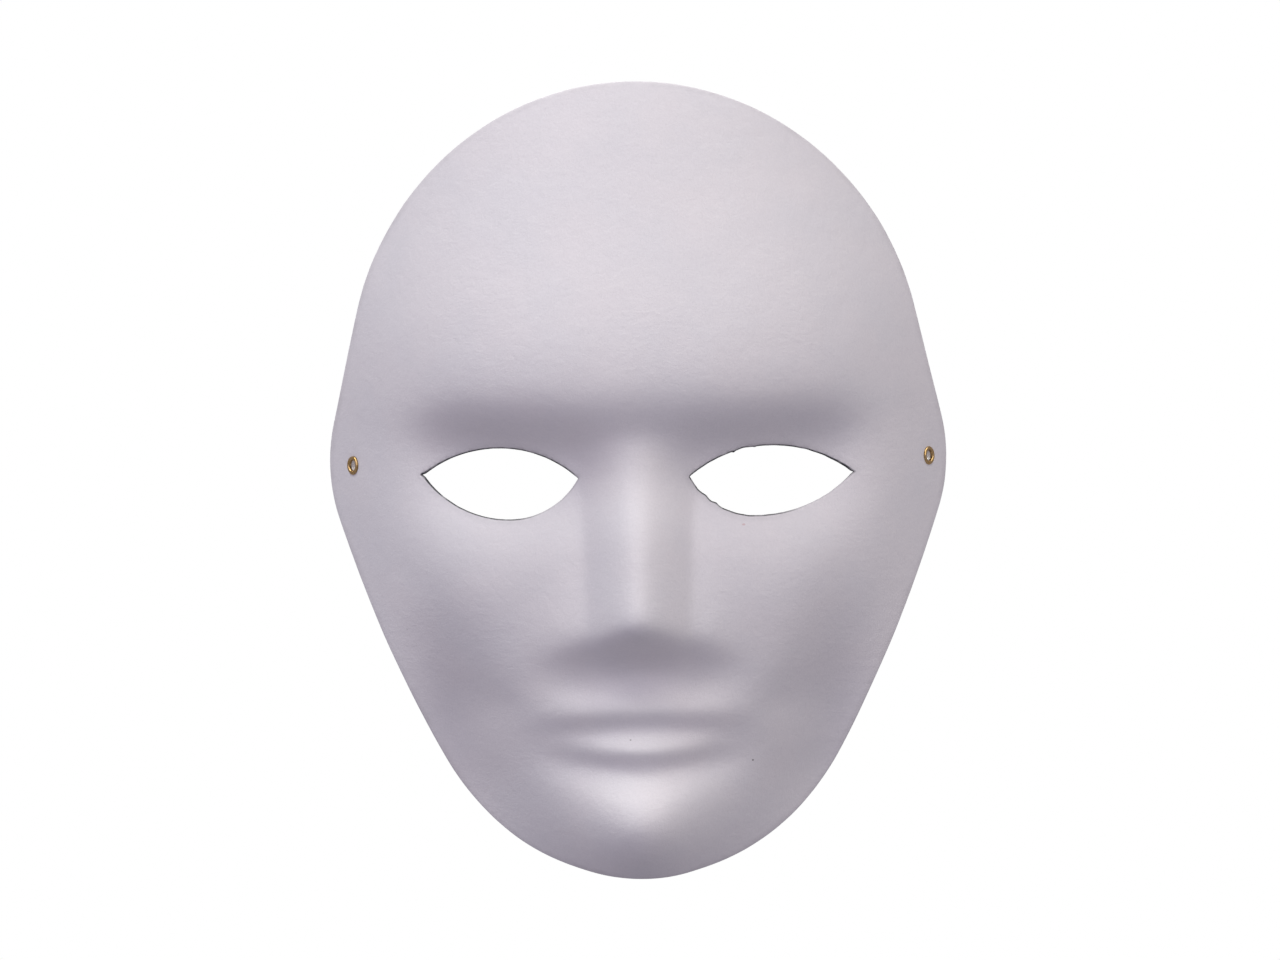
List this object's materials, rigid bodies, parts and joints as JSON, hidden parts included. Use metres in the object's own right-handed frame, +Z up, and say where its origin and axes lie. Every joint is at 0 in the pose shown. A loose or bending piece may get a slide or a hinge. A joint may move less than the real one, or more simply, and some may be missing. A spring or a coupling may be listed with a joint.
{
  "type": "blank full-face mask",
  "caption": "Plain white moulded paper-pulp full-face mask with almond eye openings and a brass eyelet at each temple for an elastic.",
  "frame": {"origin": "middle of the rim's rearmost plane, at the height of the eyelets, on the plane of symmetry: where the mask meets the wearer's temples", "axes": "+Z up the face, -Y the way the face looks, +X to the viewer's right of someone facing the mask"},
  "size_m": [0.1904, 0.0755, 0.241],
  "materials": {
    "white_pulp": "smooth moulded paper pulp with a faint pearly white coat, matt and slightly fibrous",
    "eyelet_brass": "bright pressed brass, slightly tarnished in the folds"
  },
  "bodies": {
    "root": {"mask_shell": "white_pulp", "eyelet_left": "eyelet_brass", "eyelet_washer_left": "eyelet_brass", "eyelet_right": "eyelet_brass", "eyelet_washer_right": "eyelet_brass"}
  },
  "joints": []
}
